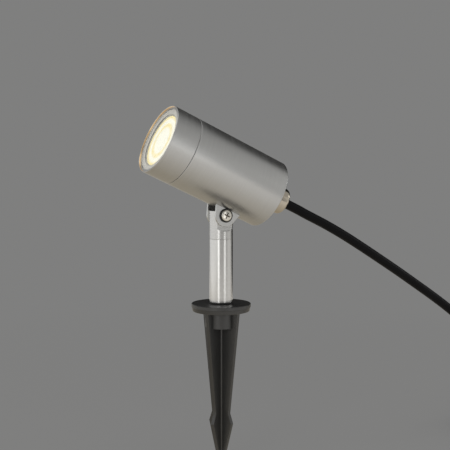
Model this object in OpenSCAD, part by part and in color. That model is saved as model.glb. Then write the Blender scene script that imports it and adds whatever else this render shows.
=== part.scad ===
// Garden spike spotlight: a turned steel head on a short pole, over a black
// ground spike. Millimetres, +Z up. The origin is on the pole's axis at the
// ground line, the underside of the spike's round flange. The head's front
// points to -Y and up, and the mains lead leaves its back towards +Y.

/* [Head] */
// Outside diameter of the head
head_d = 60; // [56:1:66]
// Length of the head from its back face to the front rim
head_l = 112; // [108:1:130]
// Wall of the drawn housing
head_wall = 1.8; // [1.5:0.1:2.2]
// Radius of the rounded back edge
back_r = 1; // [0.6:0.2:2]
// Distance from the back face to the pivot, along the head
back_to_pivot = 33; // [30:1:40]
// Distance from the pivot's centre to the underside of the housing
pivot_to_head = 4; // [4:0.5:7]
// Tilt of the head at rest, front up
tilt = 25; // [0:5:60]

/* [Bezel and glass] */
// Length of the screw-on bezel
bezel_l = 23; // [20:1:28]
// Wall of the bezel
bezel_wall = 1.6; // [1.4:0.1:2]
// Width of the lip that holds the glass
lip_w = 1; // [0.8:0.1:1.4]
// Depth of the glass behind the front rim
lip_t = 1; // [0.8:0.1:2]
// Thickness of the front glass
glass_t = 3; // [2.5:0.5:4]
// Thickness of the silicone gasket behind the glass
gasket_t = 1.5; // [1:0.5:2]
// Width of the gasket's ring
gasket_w = 2.4; // [2:0.1:2.6]
// Wall of the threaded neck
neck_wall = 2.4; // [2.2:0.1:2.6]

/* [Lamp] */
// Diameter of the reflector lamp
lamp_d = 50; // [48:0.5:51]
// Length of the lamp without its pins
lamp_l = 47; // [44:1:50]
// Diameter of the lamp's light face
lamp_face_d = 44.3; // [38:0.1:45]
// Distance between the two lamp pins
pin_pitch = 10; // [10:0.5:11]
// Turn that frees the lamp's pins
twist = 40; // [35:5:40]
// Diameter of the ceramic lamp holder
holder_d = 29; // [28:1:32]
// Height of the ceramic lamp holder
holder_h = 16; // [15:1:20]

/* [Pivot] */
// Thickness of the tongue between the ears
tongue_t = 14.4; // [12:0.2:15]
// Thickness of each ear
ear_t = 2; // [1.5:0.5:2.5]
// Radius of the ears' round end
ear_r = 9.5; // [8:0.5:10]
// Slope of the ears' sides
ear_flare = 20; // [10:5:25]
// Diameter of the pivot screw
screw_d = 4.9; // [4:0.1:5]
// Diameter of the pivot screw's head
screw_head_d = 9.4; // [8:0.2:9.6]
// Steepest tilt of the head
tilt_max = 60; // [60:5:75]

/* [Pole] */
// Diameter of the pole
pole_d = 20; // [19:0.5:22]
// Wall of the pole
pole_wall = 1.5; // [1:0.25:2]
// Height of the pivot over the ground line
pivot_z = 82; // [70:1:160]
// Distance from the pivot down to the top of the pole's tube
knuckle_drop = 20; // [18:1:26]
// Thickness of the washer under the pole
foot_washer_t = 1; // [0.8:0.1:2]
// Diameter of the stud in the pole's foot
stud_d = 7.9; // [6.9:0.1:8.4]

/* [Spike] */
// Diameter of the flange
flange_d = 50.8; // [44:0.2:60]
// Height of the flange
flange_h = 6.5; // [5.5:0.5:9]
// Wall of the flange and its rim
flange_wall = 2.4; // [2:0.2:3]
// Diameter of the boss under the flange
boss_d = 26.6; // [24:0.2:28]
// Depth of the boss below the ground line
boss_depth = 14; // [13.5:0.5:20]
// Reach of the four blades at the ground line
spike_top = 19.2; // [17:0.2:20]
// Reach of the blades at the waist
spike_waist = 9; // [7.6:0.2:10]
// Reach of the blades at the barb
spike_barb = 12.1; // [10.5:0.1:13]
// Depth of the waist
waist_depth = 88.5; // [70:0.5:95]
// Height of the slope from the waist down to the barb
barb_slope = 8.5; // [5:0.5:10]
// Depth of the spike's point
spike_depth = 140; // [125:1:170]
// Thickness of a blade
blade_t = 3.2; // [2.4:0.2:4]
// Radius of the core where the blades meet
core_rod_r = 2.9; // [2.6:0.1:4]
// Turn of the spike about the pole's axis
spike_turn = 25; // [-45:1:45]

/* [Lead] */
// Diameter of the mains lead
cord_d = 8.5; // [7.5:0.1:9]
// Diameter of the domed nut on the cable gland
gland_d = 23.4; // [22:0.2:26]
// Height of the nut's domed end
gland_h = 5.4; // [4:0.2:7]
// Length of the cable gland behind the head
gland_l = 18; // [16:0.5:24]
// Diameter of the plug's body
plug_d = 37; // [34:1:40]
// Length of the plug's body
plug_l = 36; // [32:1:45]
// Diameter of the plug's pins
plug_pin_d = 4.8; // [4:0.1:5]
// Distance between the plug's pins
plug_pitch = 19; // [18:1:20]

/* [Hidden] */
$fn = 72;
eps = 0.01;

// Clearances: turning or sliding parts, threads, and seated parts of one body
part_gap = 0.3;
turn_gap = 0.2;
thread_gap = 0.15;
fit_gap = 0.05;

// Head, along its own axis from the pivot's foot, positive to the front
head_r = head_d / 2;
axis_h = head_r + pivot_to_head;
front_z = head_l - back_to_pivot;
back_z = -back_to_pivot;
inner_r = head_r - head_wall;
back_in = back_z + head_wall;
back_in_r = 2.2;
shoulder_z = front_z - bezel_l;
bezel_bore = head_r - bezel_wall;
opening_r = bezel_bore - lip_w;
glass_r = bezel_bore - part_gap;
glass_front = front_z - lip_t - thread_gap;
glass_back = glass_front - glass_t;
gasket_back = glass_back - gasket_t;
neck_r = bezel_bore - thread_gap;
neck_bore = neck_r - neck_wall;
neck_front = gasket_back - part_gap;
neck_slope = 4;
rim_chamfer = 0.5;
ring_section = 0.7;
ring_z = shoulder_z + 3;

// Lamp and holder
glass_to_lamp = 1.2;
lamp_front = glass_back - glass_to_lamp;
lamp_back = lamp_front - lamp_l;
lamp_r = lamp_d / 2;
lamp_rim_h = 6;
lamp_neck_r = 12.2;
lamp_neck_h = 13;
lens_t = 2;
pin_r = 1.65;
pin_head_r = 2.5;
pin_stem = 4;
pin_head_h = 2.6;
holder_front = lamp_back - turn_gap;
holder_back = holder_front - holder_h;
holder_r = holder_d / 2;
pin_plate = 3.2;
pin_pocket = 4.4;
holder_screw_y = 10.5;
holder_screw_r = 1.45;
holder_screw_head_r = 2.7;
holder_recess = 6;
strip_t = 1.2;
strip_w = 27;
strip_x = 22;
strip_foot = 7;
strip_top = holder_back - fit_gap;
strip_under = strip_top - strip_t;
block = [21, 16, 13];
block_top = strip_under - turn_gap;
block_z = block_top - block[2] / 2;
pole_pitch = 6.5;
core_r = 1.15;
sheath_in = 8;
sheath_end = back_in + sheath_in;
earth_z = block_z - 14;
earth_r = 1.95;
tag_r = 4.2;
tag_t = 0.8;

// Pivot, from its centre
tongue_x = tongue_t / 2;
ear_in = tongue_x + turn_gap;
ear_out = ear_in + ear_t;
washer_t = 1;
washer_r = 5.2;
screw_r = screw_d / 2;
screw_head_r = screw_head_d / 2;
screw_head_h = 3.2;
nut_h = 4;
nut_af = 8;
spot_r = 13.5;
tongue_top = pivot_to_head - part_gap;
bore_gap = 0.05;

// Pole
pole_r = pole_d / 2;
pole_bore = pole_r - pole_wall;
tube_top = pivot_z - knuckle_drop;
tube_foot = flange_h + turn_gap + foot_washer_t;
plug_depth = 14;
knuckle_plug = 15;
seam = 0.3;
stud_r = stud_d / 2;
stud_end = -11;

// Spike
insert_wall = 2;
insert_r = stud_r + fit_gap + insert_wall;
insert_end = stud_end - 1.5;
barb_depth = waist_depth + barb_slope;
point_r = 0.6;
ribs = 8;
rib_t = 1.6;
rib_lift = 0.5;
rim_taper = 1;

// Lead
cord_r = cord_d / 2;
gland_r = gland_d / 2;
stem_r = 8;
stem_bore = 7;
stem_in = 5;
gland_flange_af = 20;
gland_ring_h = 0.9;
gland_flange_h = 4.6;
nut_gap = 0.3;
nut_start = gland_ring_h + gland_flange_h + nut_gap;
stem_end = gland_l - 2.75;
seal_low = nut_start + 1;
dome_curve = 0.5;
locknut_af = 19;
locknut_h = 3;
exit_out = gland_l;
floor_z = -spike_depth;

// Where the lead leaves the gland, and which way
exit_dir = [0, cos(tilt), -sin(tilt)];
axis_foot = [0, axis_h * sin(tilt), pivot_z + axis_h * cos(tilt)];
exit_point = axis_foot + (back_to_pivot + exit_out) * exit_dir;

// The lead's hand-chosen way from the gland over the edge of the hank
cord_way = [[0, 84, 80], [0, 104, 70.4], [0, 124, 59.8], [0, 144, 48.2],
    [0, 164, 36.2], [0, 184, 24], [0, 204, 11.4], [0, 224, -1.4],
    [0.4, 242, -13.6], [1.6, 258, -26], [3.6, 272, -40], [6.2, 284, -55.4],
    [9.2, 295, -70.6], [12.2, 306, -84], [14.8, 318, -95], [16.4, 331, -102.6],
    [17.2, 344, -106.4]];

// Hank: one tube in four piled loops, drawn in at the waist
hank_fold_r = 25.5;
hank_half = 64;
hank_waist = 8;
hank_step = 9.2;
hank_layers = 4;
hank_y = 356;
hank_rings_fold = 8;
hank_rings_run = 4;
tie_t = 0.8;
tie_w = 8;
tie_gap = 0.4;
hank_low = floor_z + tie_t + tie_gap + cord_r;
hank_high = hank_low + (hank_layers - 1) * hank_step;
hank_waist_x = hank_fold_r - hank_waist;
hank_end_y = hank_y + hank_half + cord_d;

// Tail: from the hank's lowest layer to the plug on the floor
plug_r = plug_d / 2;
boot_l = 20;
boot_r0 = cord_r + 1.2;
boot_r1 = 8;
plug_pin_l = 19;
plug_start = [12, 488, floor_z + plug_r];
tail_start = [hank_fold_r, hank_end_y, hank_low];
tail_shift = plug_start - tail_start;
tail_steps = 8;

// Points of an arc in a plane, by angle in degrees
function arc(cx, cy, r, a0, a1, n = 6) =
    [for (i = [0:n]) let (a = a0 + (a1 - a0) * i / n) [cx + r * cos(a), cy + r * sin(a)]];

function unit(v) = v / norm(v);

// Direction of a list of points at one of them; the ends take what they are given
function way(p, i, first, last) =
    i == 0 ? first : i == len(p) - 1 ? last : unit(p[i + 1] - p[i - 1]);

// Frames, from the world to the head and to the head's axis
module head_frame() {
    translate([0, 0, pivot_z]) rotate([-tilt, 0, 0]) children();
}

module axis_frame() {
    head_frame() translate([0, 0, axis_h]) rotate([90, 0, 0]) children();
}

// The back face, with +Z out of it
module back_frame() {
    axis_frame() translate([0, 0, back_z]) rotate([180, 0, 0]) children();
}

module ring(r, hole, z0, z1) {
    translate([0, 0, z0]) difference() {
        cylinder(h = z1 - z0, r = r);
        translate([0, 0, -eps]) cylinder(h = z1 - z0 + 2 * eps, r = hole);
    }
}

// A round bar along X
module bar_x(r, x0, x1) {
    translate([x0, 0, 0]) rotate([0, 90, 0]) cylinder(h = x1 - x0, r = r);
}

// A tube swept along points, closed at both ends
module tube(p, r, first, last, sides = 8, up = [0, 0, 1]) {
    n = len(p);
    rings = [for (i = [0:n - 1])
        let (t = way(p, i, first, last), u = unit(cross(up, t)), v = cross(t, u))
        for (k = [0:sides - 1]) let (a = 360 * k / sides)
            p[i] + r * cos(a) * u + r * sin(a) * v];
    walls = [for (i = [0:n - 2]) for (k = [0:sides - 1])
        let (a = i * sides + k, b = i * sides + (k + 1) % sides)
        each [[a, b + sides, b], [a, a + sides, b + sides]]];
    start = [for (k = [1:sides - 2]) [0, k, k + 1]];
    end = [for (k = [1:sides - 2]) let (o = (n - 1) * sides) [o, o + k + 1, o + k]];
    polyhedron(points = rings, faces = concat(walls, start, end), convexity = 8);
}

// Four blades in a cross, turned down to the spike's outline, on a slender core
module spike_blades() {
    top = flange_h - flange_wall + eps;
    intersection() {
        rotate_extrude() polygon([[0, top], [spike_top, top], [spike_top, 0],
            [spike_waist, -waist_depth], [spike_barb, -barb_depth],
            [point_r, -spike_depth], [0, -spike_depth]]);
        union() {
            for (a = [0, 90]) rotate(a)
                translate([-spike_top - 1, -blade_t / 2, -spike_depth - 1])
                    cube([2 * spike_top + 2, blade_t, spike_depth + top + 1]);
            translate([0, 0, -spike_depth - 1]) cylinder(h = spike_depth + top + 1, r = core_rod_r);
        }
    }
}

module ground_spike() {
    rim = flange_d / 2;
    low_rim = rim - rim_taper;
    color("#26272a") difference() {
        union() {
            rotate_extrude() polygon([[0, flange_h], [rim - 0.4, flange_h],
                [rim, flange_h - 0.4], [rim, flange_h / 2 + 0.3],
                [rim - 0.5, flange_h / 2], [low_rim, 0.4], [low_rim - 0.4, 0],
                [low_rim - flange_wall, 0], [low_rim - flange_wall, flange_h - flange_wall],
                [0, flange_h - flange_wall]]);
            translate([0, 0, -boss_depth]) cylinder(h = boss_depth + flange_h - eps, r = boss_d / 2);
            rotate(spike_turn) spike_blades();
            for (i = [0:ribs - 1]) rotate(spike_turn + 360 * (i + 0.5) / ribs)
                translate([insert_r + 1, -rib_t / 2, rib_lift])
                    cube([low_rim - insert_r - 2, rib_t, flange_h - flange_wall - rib_lift + eps]);
        }
        translate([0, 0, insert_end]) cylinder(h = flange_h - insert_end + 1, r = insert_r + fit_gap);
    }
}

module spike_insert() {
    groove = 0.6;
    color("#b39a55") rotate_extrude() polygon([
        [stud_r + fit_gap, insert_end + fit_gap], [insert_r, insert_end + fit_gap],
        [insert_r, -8], [insert_r - groove, -7.4], [insert_r - groove, -5.4],
        [insert_r, -4.8], [insert_r, -1.8], [insert_r - groove, -1.2],
        [insert_r - groove, 0.8], [insert_r, 1.4], [insert_r, flange_h],
        [stud_r + fit_gap, flange_h]]);
}

module pole_tube() {
    color("#b9b7b0") rotate_extrude() polygon([[pole_bore, tube_foot],
        [pole_r - seam, tube_foot], [pole_r, tube_foot + seam],
        [pole_r, tube_top - seam], [pole_r - seam, tube_top], [pole_bore, tube_top]]);
}

module pole_foot() {
    color("#a9a8a2") {
        translate([0, 0, tube_foot]) cylinder(h = plug_depth, r = pole_bore - fit_gap);
        translate([0, 0, stud_end]) cylinder(h = tube_foot - stud_end + eps, r = stud_r);
    }
}

module foot_washer() {
    color("#17181a") ring(pole_r, stud_r + 0.2, tube_foot - foot_washer_t, tube_foot - eps);
}

// The knuckle's side view, from the pivot: level to the front, sloped to the back
function knuckle_side() = let (
        slope_dir = [cos(tilt_max), -sin(tilt_max)],
        start = tongue_top * [sin(tilt_max), cos(tilt_max)],
        run = (pole_r + 1 - start[0]) / slope_dir[0])
    concat([[-pole_r - 1, -knuckle_drop], [-pole_r - 1, tongue_top]],
        arc(0, 0, tongue_top, 90, 90 - tilt_max, 8),
        [start + run * slope_dir, [pole_r + 1, -knuckle_drop]]);

module knuckle() {
    color("#a8a69f") translate([0, 0, pivot_z]) difference() {
        union() {
            intersection() {
                translate([0, 0, -knuckle_drop])
                    cylinder(h = knuckle_drop + tongue_top, r = pole_r);
                rotate([90, 0, 90]) linear_extrude(height = 2 * pole_r + 2, center = true)
                    polygon(knuckle_side());
            }
            translate([0, 0, -knuckle_drop - knuckle_plug])
                cylinder(h = knuckle_plug + 1, r = pole_bore - fit_gap);
        }
        bar_x(spot_r, tongue_x, pole_r + 1);
        bar_x(spot_r, -pole_r - 1, -tongue_x);
        bar_x(screw_r + bore_gap, -pole_r, pole_r);
    }
}

module ear() {
    side = ear_r * [cos(ear_flare), -sin(ear_flare)];
    top = pivot_to_head + 3;
    wide = side[0] + (top - side[1]) * tan(ear_flare);
    difference() {
        rotate([90, 0, 90]) linear_extrude(height = ear_t) difference() {
            union() {
                circle(r = ear_r);
                polygon([[side[0], side[1]], [wide, top], [-wide, top], [-side[0], side[1]]]);
            }
            circle(r = screw_r + bore_gap);
        }
        translate([-ear_in, 0, axis_h]) rotate([90, 0, 0])
            cylinder(h = 4 * ear_r, r = head_r + fit_gap, center = true, $fn = 144);
    }
}

module pivot_ears() {
    color("#a3a19a") head_frame() {
        translate([ear_in, 0, 0]) ear();
        mirror([1, 0, 0]) translate([ear_in, 0, 0]) ear();
    }
}

module pivot_screw() {
    start = ear_out + washer_t;
    end = -ear_out - washer_t - nut_h - 1;
    slot = 0.9;
    color("#c9c3b2") head_frame() difference() {
        union() {
            bar_x(screw_r, end, start + eps);
            translate([start, 0, 0]) rotate([0, 90, 0]) rotate_extrude()
                polygon(concat([[0, 0], [screw_head_r, 0], [screw_head_r, 0.9]],
                    arc(screw_head_r - 2, 0.9, 2, 20, 70, 4), [[0, screw_head_h]]));
        }
        for (a = [0, 90]) rotate([a, 0, 0])
            translate([start + 1.2, -slot / 2, -2.6]) cube([screw_head_h, slot, 5.2]);
    }
}

module screw_washer() {
    color("#1c1c1d") head_frame() translate([ear_out, 0, 0]) rotate([0, 90, 0])
        ring(washer_r, screw_r + bore_gap, 0, washer_t);
}

module nut_washer() {
    color("#a9a8a2") head_frame() translate([-ear_out - washer_t, 0, 0]) rotate([0, 90, 0])
        ring(washer_r, screw_r + bore_gap, 0, washer_t);
}

module pivot_nut() {
    color("#b5b2a8") head_frame() translate([-ear_out - washer_t - nut_h, 0, 0])
        rotate([0, 90, 0]) difference() {
            cylinder(h = nut_h, r = nut_af / sqrt(3), $fn = 6);
            translate([0, 0, -eps]) cylinder(h = nut_h + 2 * eps, r = screw_r + bore_gap);
        }
}

// A drawn cup with a rounded back edge and a turned neck for the bezel
module housing() {
    hole = stem_r + turn_gap;
    groove = ring_section + thread_gap;
    groove_r = neck_r - 2 * ring_section - fit_gap;
    color("#9a9893") axis_frame() rotate_extrude($fn = 144) polygon(concat(
        [[hole, back_z]],
        arc(head_r - back_r, back_z + back_r, back_r, -90, 0),
        [[head_r, shoulder_z], [neck_r, shoulder_z], [neck_r, ring_z - groove],
            [groove_r, ring_z - groove], [groove_r, ring_z + groove],
            [neck_r, ring_z + groove], [neck_r, neck_front - 0.4],
            [neck_r - 0.4, neck_front], [neck_bore, neck_front],
            [neck_bore, shoulder_z], [inner_r, shoulder_z - neck_slope]],
        arc(inner_r - back_in_r, back_in + back_in_r, back_in_r, 0, -90),
        [[hole, back_in]]));
}

module neck_ring() {
    color("#1a1a1a") axis_frame() translate([0, 0, ring_z])
        rotate_extrude() translate([neck_r - ring_section, 0]) circle(r = ring_section, $fn = 16);
}

module bezel() {
    low = shoulder_z + part_gap;
    lip_under = front_z - lip_t;
    color("#9a9893") axis_frame() rotate_extrude($fn = 144) polygon([
        [bezel_bore, low], [head_r - 0.2, low], [head_r, low + 0.2],
        [head_r, front_z - rim_chamfer], [head_r - rim_chamfer, front_z],
        [bezel_bore, front_z], [opening_r, lip_under + 0.3], [opening_r, lip_under],
        [bezel_bore, lip_under]]);
}

module front_glass() {
    edge = 0.4;
    color("#dfeaea", 0.35) axis_frame() rotate_extrude($fn = 144) polygon([
        [0, glass_back], [glass_r - edge, glass_back], [glass_r, glass_back + edge],
        [glass_r, glass_front - edge], [glass_r - edge, glass_front], [0, glass_front]]);
}

module glass_gasket() {
    color("#e6e4dc") axis_frame() ring(glass_r, glass_r - gasket_w, gasket_back, glass_back - eps);
}

// The reflector lamp: a flared body over a round neck
module lamp_shell() {
    neck_top = lamp_back + lamp_neck_h;
    rim_low = lamp_front - lamp_rim_h;
    face_r = lamp_face_d / 2 + fit_gap;
    flare = rim_low - neck_top;
    color("#d8d7d2") axis_frame() rotate_extrude() polygon(concat(
        [[0, lamp_back], [lamp_neck_r - 1, lamp_back], [lamp_neck_r, lamp_back + 1]],
        [for (i = [0:6]) [lamp_neck_r + (lamp_r - 1 - lamp_neck_r) * sin(15 * i), neck_top + flare * i / 6]],
        [[lamp_r, rim_low + 0.5], [lamp_r, lamp_front - 0.6], [lamp_r - 0.6, lamp_front],
            [face_r, lamp_front], [face_r, lamp_front - lens_t], [0, lamp_front - lens_t]]));
}

// The lamp's light face, with shallow rings round a middle boss
module lamp_lens() {
    r = lamp_face_d / 2;
    rings = 7;
    step = (r - 1) / rings;
    top = lamp_front - 0.3;
    color("#fff6d8") axis_frame() rotate_extrude() polygon(concat(
        [[0, lamp_front - lens_t + eps], [r, lamp_front - lens_t + eps], [r, top]],
        [for (i = [rings:-1:1]) each [[i * step + 0.3, top], [(i - 0.5) * step, top - 0.35]]],
        [[0, top]]));
}

module lamp_pins() {
    color("#c8c6bf") axis_frame() for (side = [-1, 1])
        translate([side * pin_pitch / 2, 0, 0]) {
            translate([0, 0, lamp_back - pin_stem]) cylinder(h = pin_stem - eps, r = pin_r);
            translate([0, 0, lamp_back - pin_stem - pin_head_h])
                cylinder(h = pin_head_h + eps, r = pin_head_r);
        }
}

// An arc-shaped pocket about the head's axis, from one angle to another
module arc_pocket(mid, half, z0, z1, a0, a1) {
    translate([0, 0, z0]) rotate(a0) rotate_extrude(angle = a1 - a0)
        translate([mid - half, 0]) square([2 * half, z1 - z0]);
}

module lamp_holder() {
    mid = pin_pitch / 2;
    stem_half = pin_r + part_gap;
    head_half = pin_head_r + part_gap;
    stem_a = asin(stem_half / mid) + 2;
    head_a = asin(head_half / mid) + 2;
    color("#efece4") axis_frame() difference() {
        translate([0, 0, holder_back]) cylinder(h = holder_h, r = holder_r);
        for (side = [0, 180]) rotate(side) {
            arc_pocket(mid, stem_half, holder_front - pin_plate - 1, holder_front + 1,
                -stem_a, twist);
            arc_pocket(mid, head_half, holder_front - pin_plate - pin_pocket,
                holder_front - pin_plate, -head_a, twist + head_a);
            rotate(twist) translate([mid, 0, holder_front - pin_plate - 1])
                cylinder(h = pin_plate + 2, r = head_half + 0.15);
        }
        for (side = [-1, 1]) translate([0, side * holder_screw_y, 0]) {
            translate([0, 0, holder_back - 1]) cylinder(h = holder_h + 2, r = holder_screw_r + 0.2);
            translate([0, 0, holder_front - holder_recess])
                cylinder(h = holder_recess + 1, r = holder_screw_head_r + part_gap);
        }
    }
}

module holder_screws() {
    head_h = 2;
    color("#b9b6ad") axis_frame() for (side = [-1, 1])
        translate([0, side * holder_screw_y, 0]) difference() {
            union() {
                translate([0, 0, strip_under - 2])
                    cylinder(h = holder_front - holder_recess - strip_under + 2 + eps, r = holder_screw_r);
                translate([0, 0, holder_front - holder_recess])
                    cylinder(h = head_h, r = holder_screw_head_r);
            }
            translate([-0.4, -2, holder_front - holder_recess + head_h - 0.9]) cube([0.8, 4, 1]);
        }
}

// A bent steel strip that stands on the back wall and carries the holder
module holder_bracket() {
    low = back_in + fit_gap;
    half = [[strip_x, strip_top], [strip_x, low], [strip_x - strip_foot, low],
        [strip_x - strip_foot, low + strip_t], [strip_x - strip_t, low + strip_t],
        [strip_x - strip_t, strip_under]];
    color("#a7a59e") axis_frame() difference() {
        rotate([90, 0, 0]) linear_extrude(height = strip_w, center = true)
            polygon(concat(half, [for (i = [len(half) - 1:-1:0]) [-half[i][0], half[i][1]]]));
        for (side = [-1, 1]) translate([0, side * holder_screw_y, strip_under - 1])
            cylinder(h = strip_t + 2, r = holder_screw_r + fit_gap);
        translate([0, 0, earth_z]) bar_x(earth_r + fit_gap, -strip_x - 1, -strip_x + 2);
    }
}

module terminal_block() {
    wire_r = 1.7;
    color("#e9e7df") axis_frame() translate([0, 0, block_z]) difference() {
        cube(block, center = true);
        for (i = [-1:1]) translate([i * pole_pitch, 0, 0]) {
            rotate([90, 0, 0]) cylinder(h = block[1] + 1, r = wire_r, center = true);
            translate([0, 0, -block[2] / 2 - 1]) cylinder(h = 5, r = wire_r + 0.2);
        }
        for (i = [-0.5, 0.5]) translate([i * 2 * pole_pitch - 0.5, -block[1] / 2 - 1, -block[2] / 2 - 1])
            cube([1, block[1] + 2, 3]);
    }
}

module terminal_screws() {
    color("#c5b26a") axis_frame() for (i = [-1:1])
        translate([i * pole_pitch, 0, block_z - block[2] / 2 + 1]) difference() {
            cylinder(h = 3 - eps, r = 1.6);
            translate([-0.3, -2, -eps]) cube([0.6, 4, 0.8]);
        }
}

// Three cores from the sheath's end to the block's poles
module core_wires() {
    end_y = -block[1] / 2 - 0.1;
    rise = block_z - block[2] / 2 - sheath_end;
    shades = ["#6b4226", "#7d8f2e", "#2f5f9e"];
    axis_frame() for (i = [-1:1]) color(shades[i + 1])
        tube([[1.9 * i, i == 0 ? 1.6 : -1.1, sheath_end], [2.6 * i, -1.8, sheath_end + 0.26 * rise],
            [3.6 * i, -6.5, sheath_end + 0.5 * rise], [5.2 * i, -11.5, sheath_end + 0.68 * rise],
            [pole_pitch * i, -15.2, sheath_end + 0.97 * rise],
            [pole_pitch * i, -14.6, block_z - 2.6],
            [pole_pitch * i, -11.8, block_z], [pole_pitch * i, end_y, block_z]],
            core_r, [0, 0, 1], [0, 1, 0], 8, [1, 0, 0]);
}

// Two sleeved leads from the block to the holder's side
module holder_leads() {
    top_z = holder_back + holder_h / 2;
    start_y = holder_r - 0.7;
    color("#e8e4d6") axis_frame() for (i = [-1, 1])
        tube([[pole_pitch * i, start_y, top_z], [pole_pitch * i, start_y + 2.8, top_z - 0.6],
            [pole_pitch * i, start_y + 5, top_z - 4], [pole_pitch * i, start_y + 5.2, top_z - 10],
            [pole_pitch * i, start_y + 3, block_z + 2.6], [pole_pitch * i, start_y - 1, block_z],
            [pole_pitch * i, block[1] / 2 + 0.1, block_z]],
            core_r, [0, 1, 0], [0, -1, 0], 8, [1, 0, 0]);
}

// The earth lead, with its ring tag under the earth screw
module earth_lead() {
    leg_x = strip_x - strip_t;
    lead_x = leg_x - core_r - 0.15;
    color("#7d8f2e") axis_frame() {
        tube([[0, block[1] / 2 + 0.1, block_z], [-0.6, 12, block_z - 0.4],
            [-3.4, 15.4, block_z - 3], [-9, 17.2, block_z - 7], [-15, 15.4, block_z - 11],
            [-18.4, 11.4, block_z - 13.4], [-lead_x, 7.6, earth_z], [-lead_x, tag_r + 0.3, earth_z]],
            core_r, [0, 1, 0], [0, -1, 0], 8, [0, 0, 1]);
        translate([-leg_x + fit_gap, 0, earth_z]) rotate([0, 90, 0]) ring(tag_r, earth_r + 0.1, 0, tag_t);
    }
}

module earth_screw() {
    head_x = -(strip_x - strip_t) + fit_gap + tag_t + fit_gap;
    head_h = 2.4;
    color("#b8ad72") axis_frame() translate([0, 0, earth_z]) difference() {
        union() {
            bar_x(earth_r, -strip_x - 2.5, head_x + eps);
            bar_x(3.6, head_x, head_x + head_h);
        }
        translate([head_x + head_h - 1, -4, -0.4]) cube([2, 8, 0.8]);
    }
}

module gland_body() {
    low = -head_wall - locknut_h - 1;
    color("#b7b1a2") back_frame() {
        rotate_extrude() polygon([[stem_in, low], [stem_r, low], [stem_r, stem_end],
            [stem_bore, stem_end], [stem_bore, seal_low], [stem_in, seal_low]]);
        translate([0, 0, gland_ring_h]) difference() {
            cylinder(h = gland_flange_h, r = gland_flange_af / sqrt(3), $fn = 6);
            translate([0, 0, -eps])
                cylinder(h = gland_flange_h + 2 * eps, r = (stem_in + stem_r) / 2);
        }
    }
}

// The domed clamping nut on the gland
module gland_dome() {
    hole = cord_r + 0.35;
    edge = 0.5;
    color("#bfb5a2") back_frame() rotate_extrude() polygon(concat(
        [[stem_r + fit_gap, nut_start], [gland_r - edge, nut_start], [gland_r, nut_start + edge]],
        [for (t = [0:10:90]) [hole + (gland_r - hole) * pow(cos(t), dome_curve),
            gland_l - gland_h + gland_h * pow(sin(t), dome_curve)]],
        [[hole, stem_end + 0.6], [stem_bore, stem_end + 0.15],
            [stem_r + fit_gap, stem_end + 0.15]]));
}

module gland_seal() {
    color("#202021") back_frame()
        ring(stem_bore - fit_gap, cord_r + 0.02, seal_low + 0.1, stem_end + 0.05);
}

module gland_ring() {
    half = gland_ring_h / 2;
    color("#1a1a1a") back_frame() rotate_extrude() translate([stem_r + turn_gap + half, half])
        circle(r = half - 0.02, $fn = 16);
}

module gland_locknut() {
    low = -head_wall - fit_gap - locknut_h;
    color("#b0a992") back_frame() translate([0, 0, low]) difference() {
        cylinder(h = locknut_h, r = locknut_af / sqrt(3), $fn = 6);
        translate([0, 0, -eps]) cylinder(h = locknut_h + 2 * eps, r = stem_r + fit_gap);
    }
}

// The lead's sheath inside the gland
module cord_entry() {
    color("#1f2021") back_frame() translate([0, 0, -head_wall - sheath_in])
        cylinder(h = head_wall + sheath_in + exit_out, r = cord_r);
}

// The lead hanging from the gland down to the hank
module supply_cord() {
    first = concat([exit_point, exit_point + 16 * exit_dir], cord_way);
    points = concat(first, [[hank_waist_x, hank_y, hank_high]]);
    color("#1f2021") tube(points, cord_r, exit_dir, [0, 1, 0], 12, [1, 0, 0]);
}

// The hank's runs and folds; y counts from its middle, and a run is drawn in there
function hank_x(y) = hank_fold_r - hank_waist * (1 + cos(180 * y / hank_half)) / 2;

function run_right(layer, from) = [for (i = [0:hank_rings_run - 1])
    let (y = from + (hank_half - from) * i / hank_rings_run)
    [hank_x(y), hank_y + y, hank_low + layer * hank_step]];

function fold_far(layer) = [for (i = [0:hank_rings_fold - 1])
    let (a = 180 * i / hank_rings_fold)
    [hank_fold_r * cos(a), hank_y + hank_half + hank_fold_r * sin(a),
        hank_low + layer * hank_step]];

function run_left(layer) = [for (i = [0:hank_rings_run - 1])
    let (s = i / hank_rings_run, y = hank_half - 2 * hank_half * s)
    [-hank_x(y), hank_y + y, hank_low + (layer - s) * hank_step]];

function fold_near(layer) = [for (i = [0:hank_rings_fold - 1])
    let (a = 180 + 180 * i / hank_rings_fold)
    [hank_fold_r * cos(a), hank_y - hank_half + hank_fold_r * sin(a),
        hank_low + (layer - 1) * hank_step]];

hank_way = concat(
    [[hank_waist_x, hank_y, hank_high], [hank_waist_x, hank_y + cord_d, hank_high]],
    [for (i = [1:hank_rings_run / 2]) let (y = hank_half * i / (hank_rings_run / 2 + 1))
        [hank_x(y), hank_y + y, hank_high]],
    [for (layer = [hank_layers - 1:-1:1])
        each concat(fold_far(layer), run_left(layer), fold_near(layer),
            run_right(layer - 1, -hank_half))],
    [[hank_fold_r, hank_y + hank_half, hank_low], [hank_fold_r, hank_end_y, hank_low]]);

// Length along the hank up to each point, and its least gap to itself
hank_along = [for (i = 0, s = 0; i < len(hank_way);
    s = s + (i < len(hank_way) - 1 ? norm(hank_way[i + 1] - hank_way[i]) : 0), i = i + 1) s];
hank_gap = min([for (i = [0:len(hank_way) - 2]) for (j = [i + 1:len(hank_way) - 1])
    if (hank_along[j] - hank_along[i] > 3 * hank_fold_r)
        norm(hank_way[j] - hank_way[i]) - cord_d]);

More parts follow.
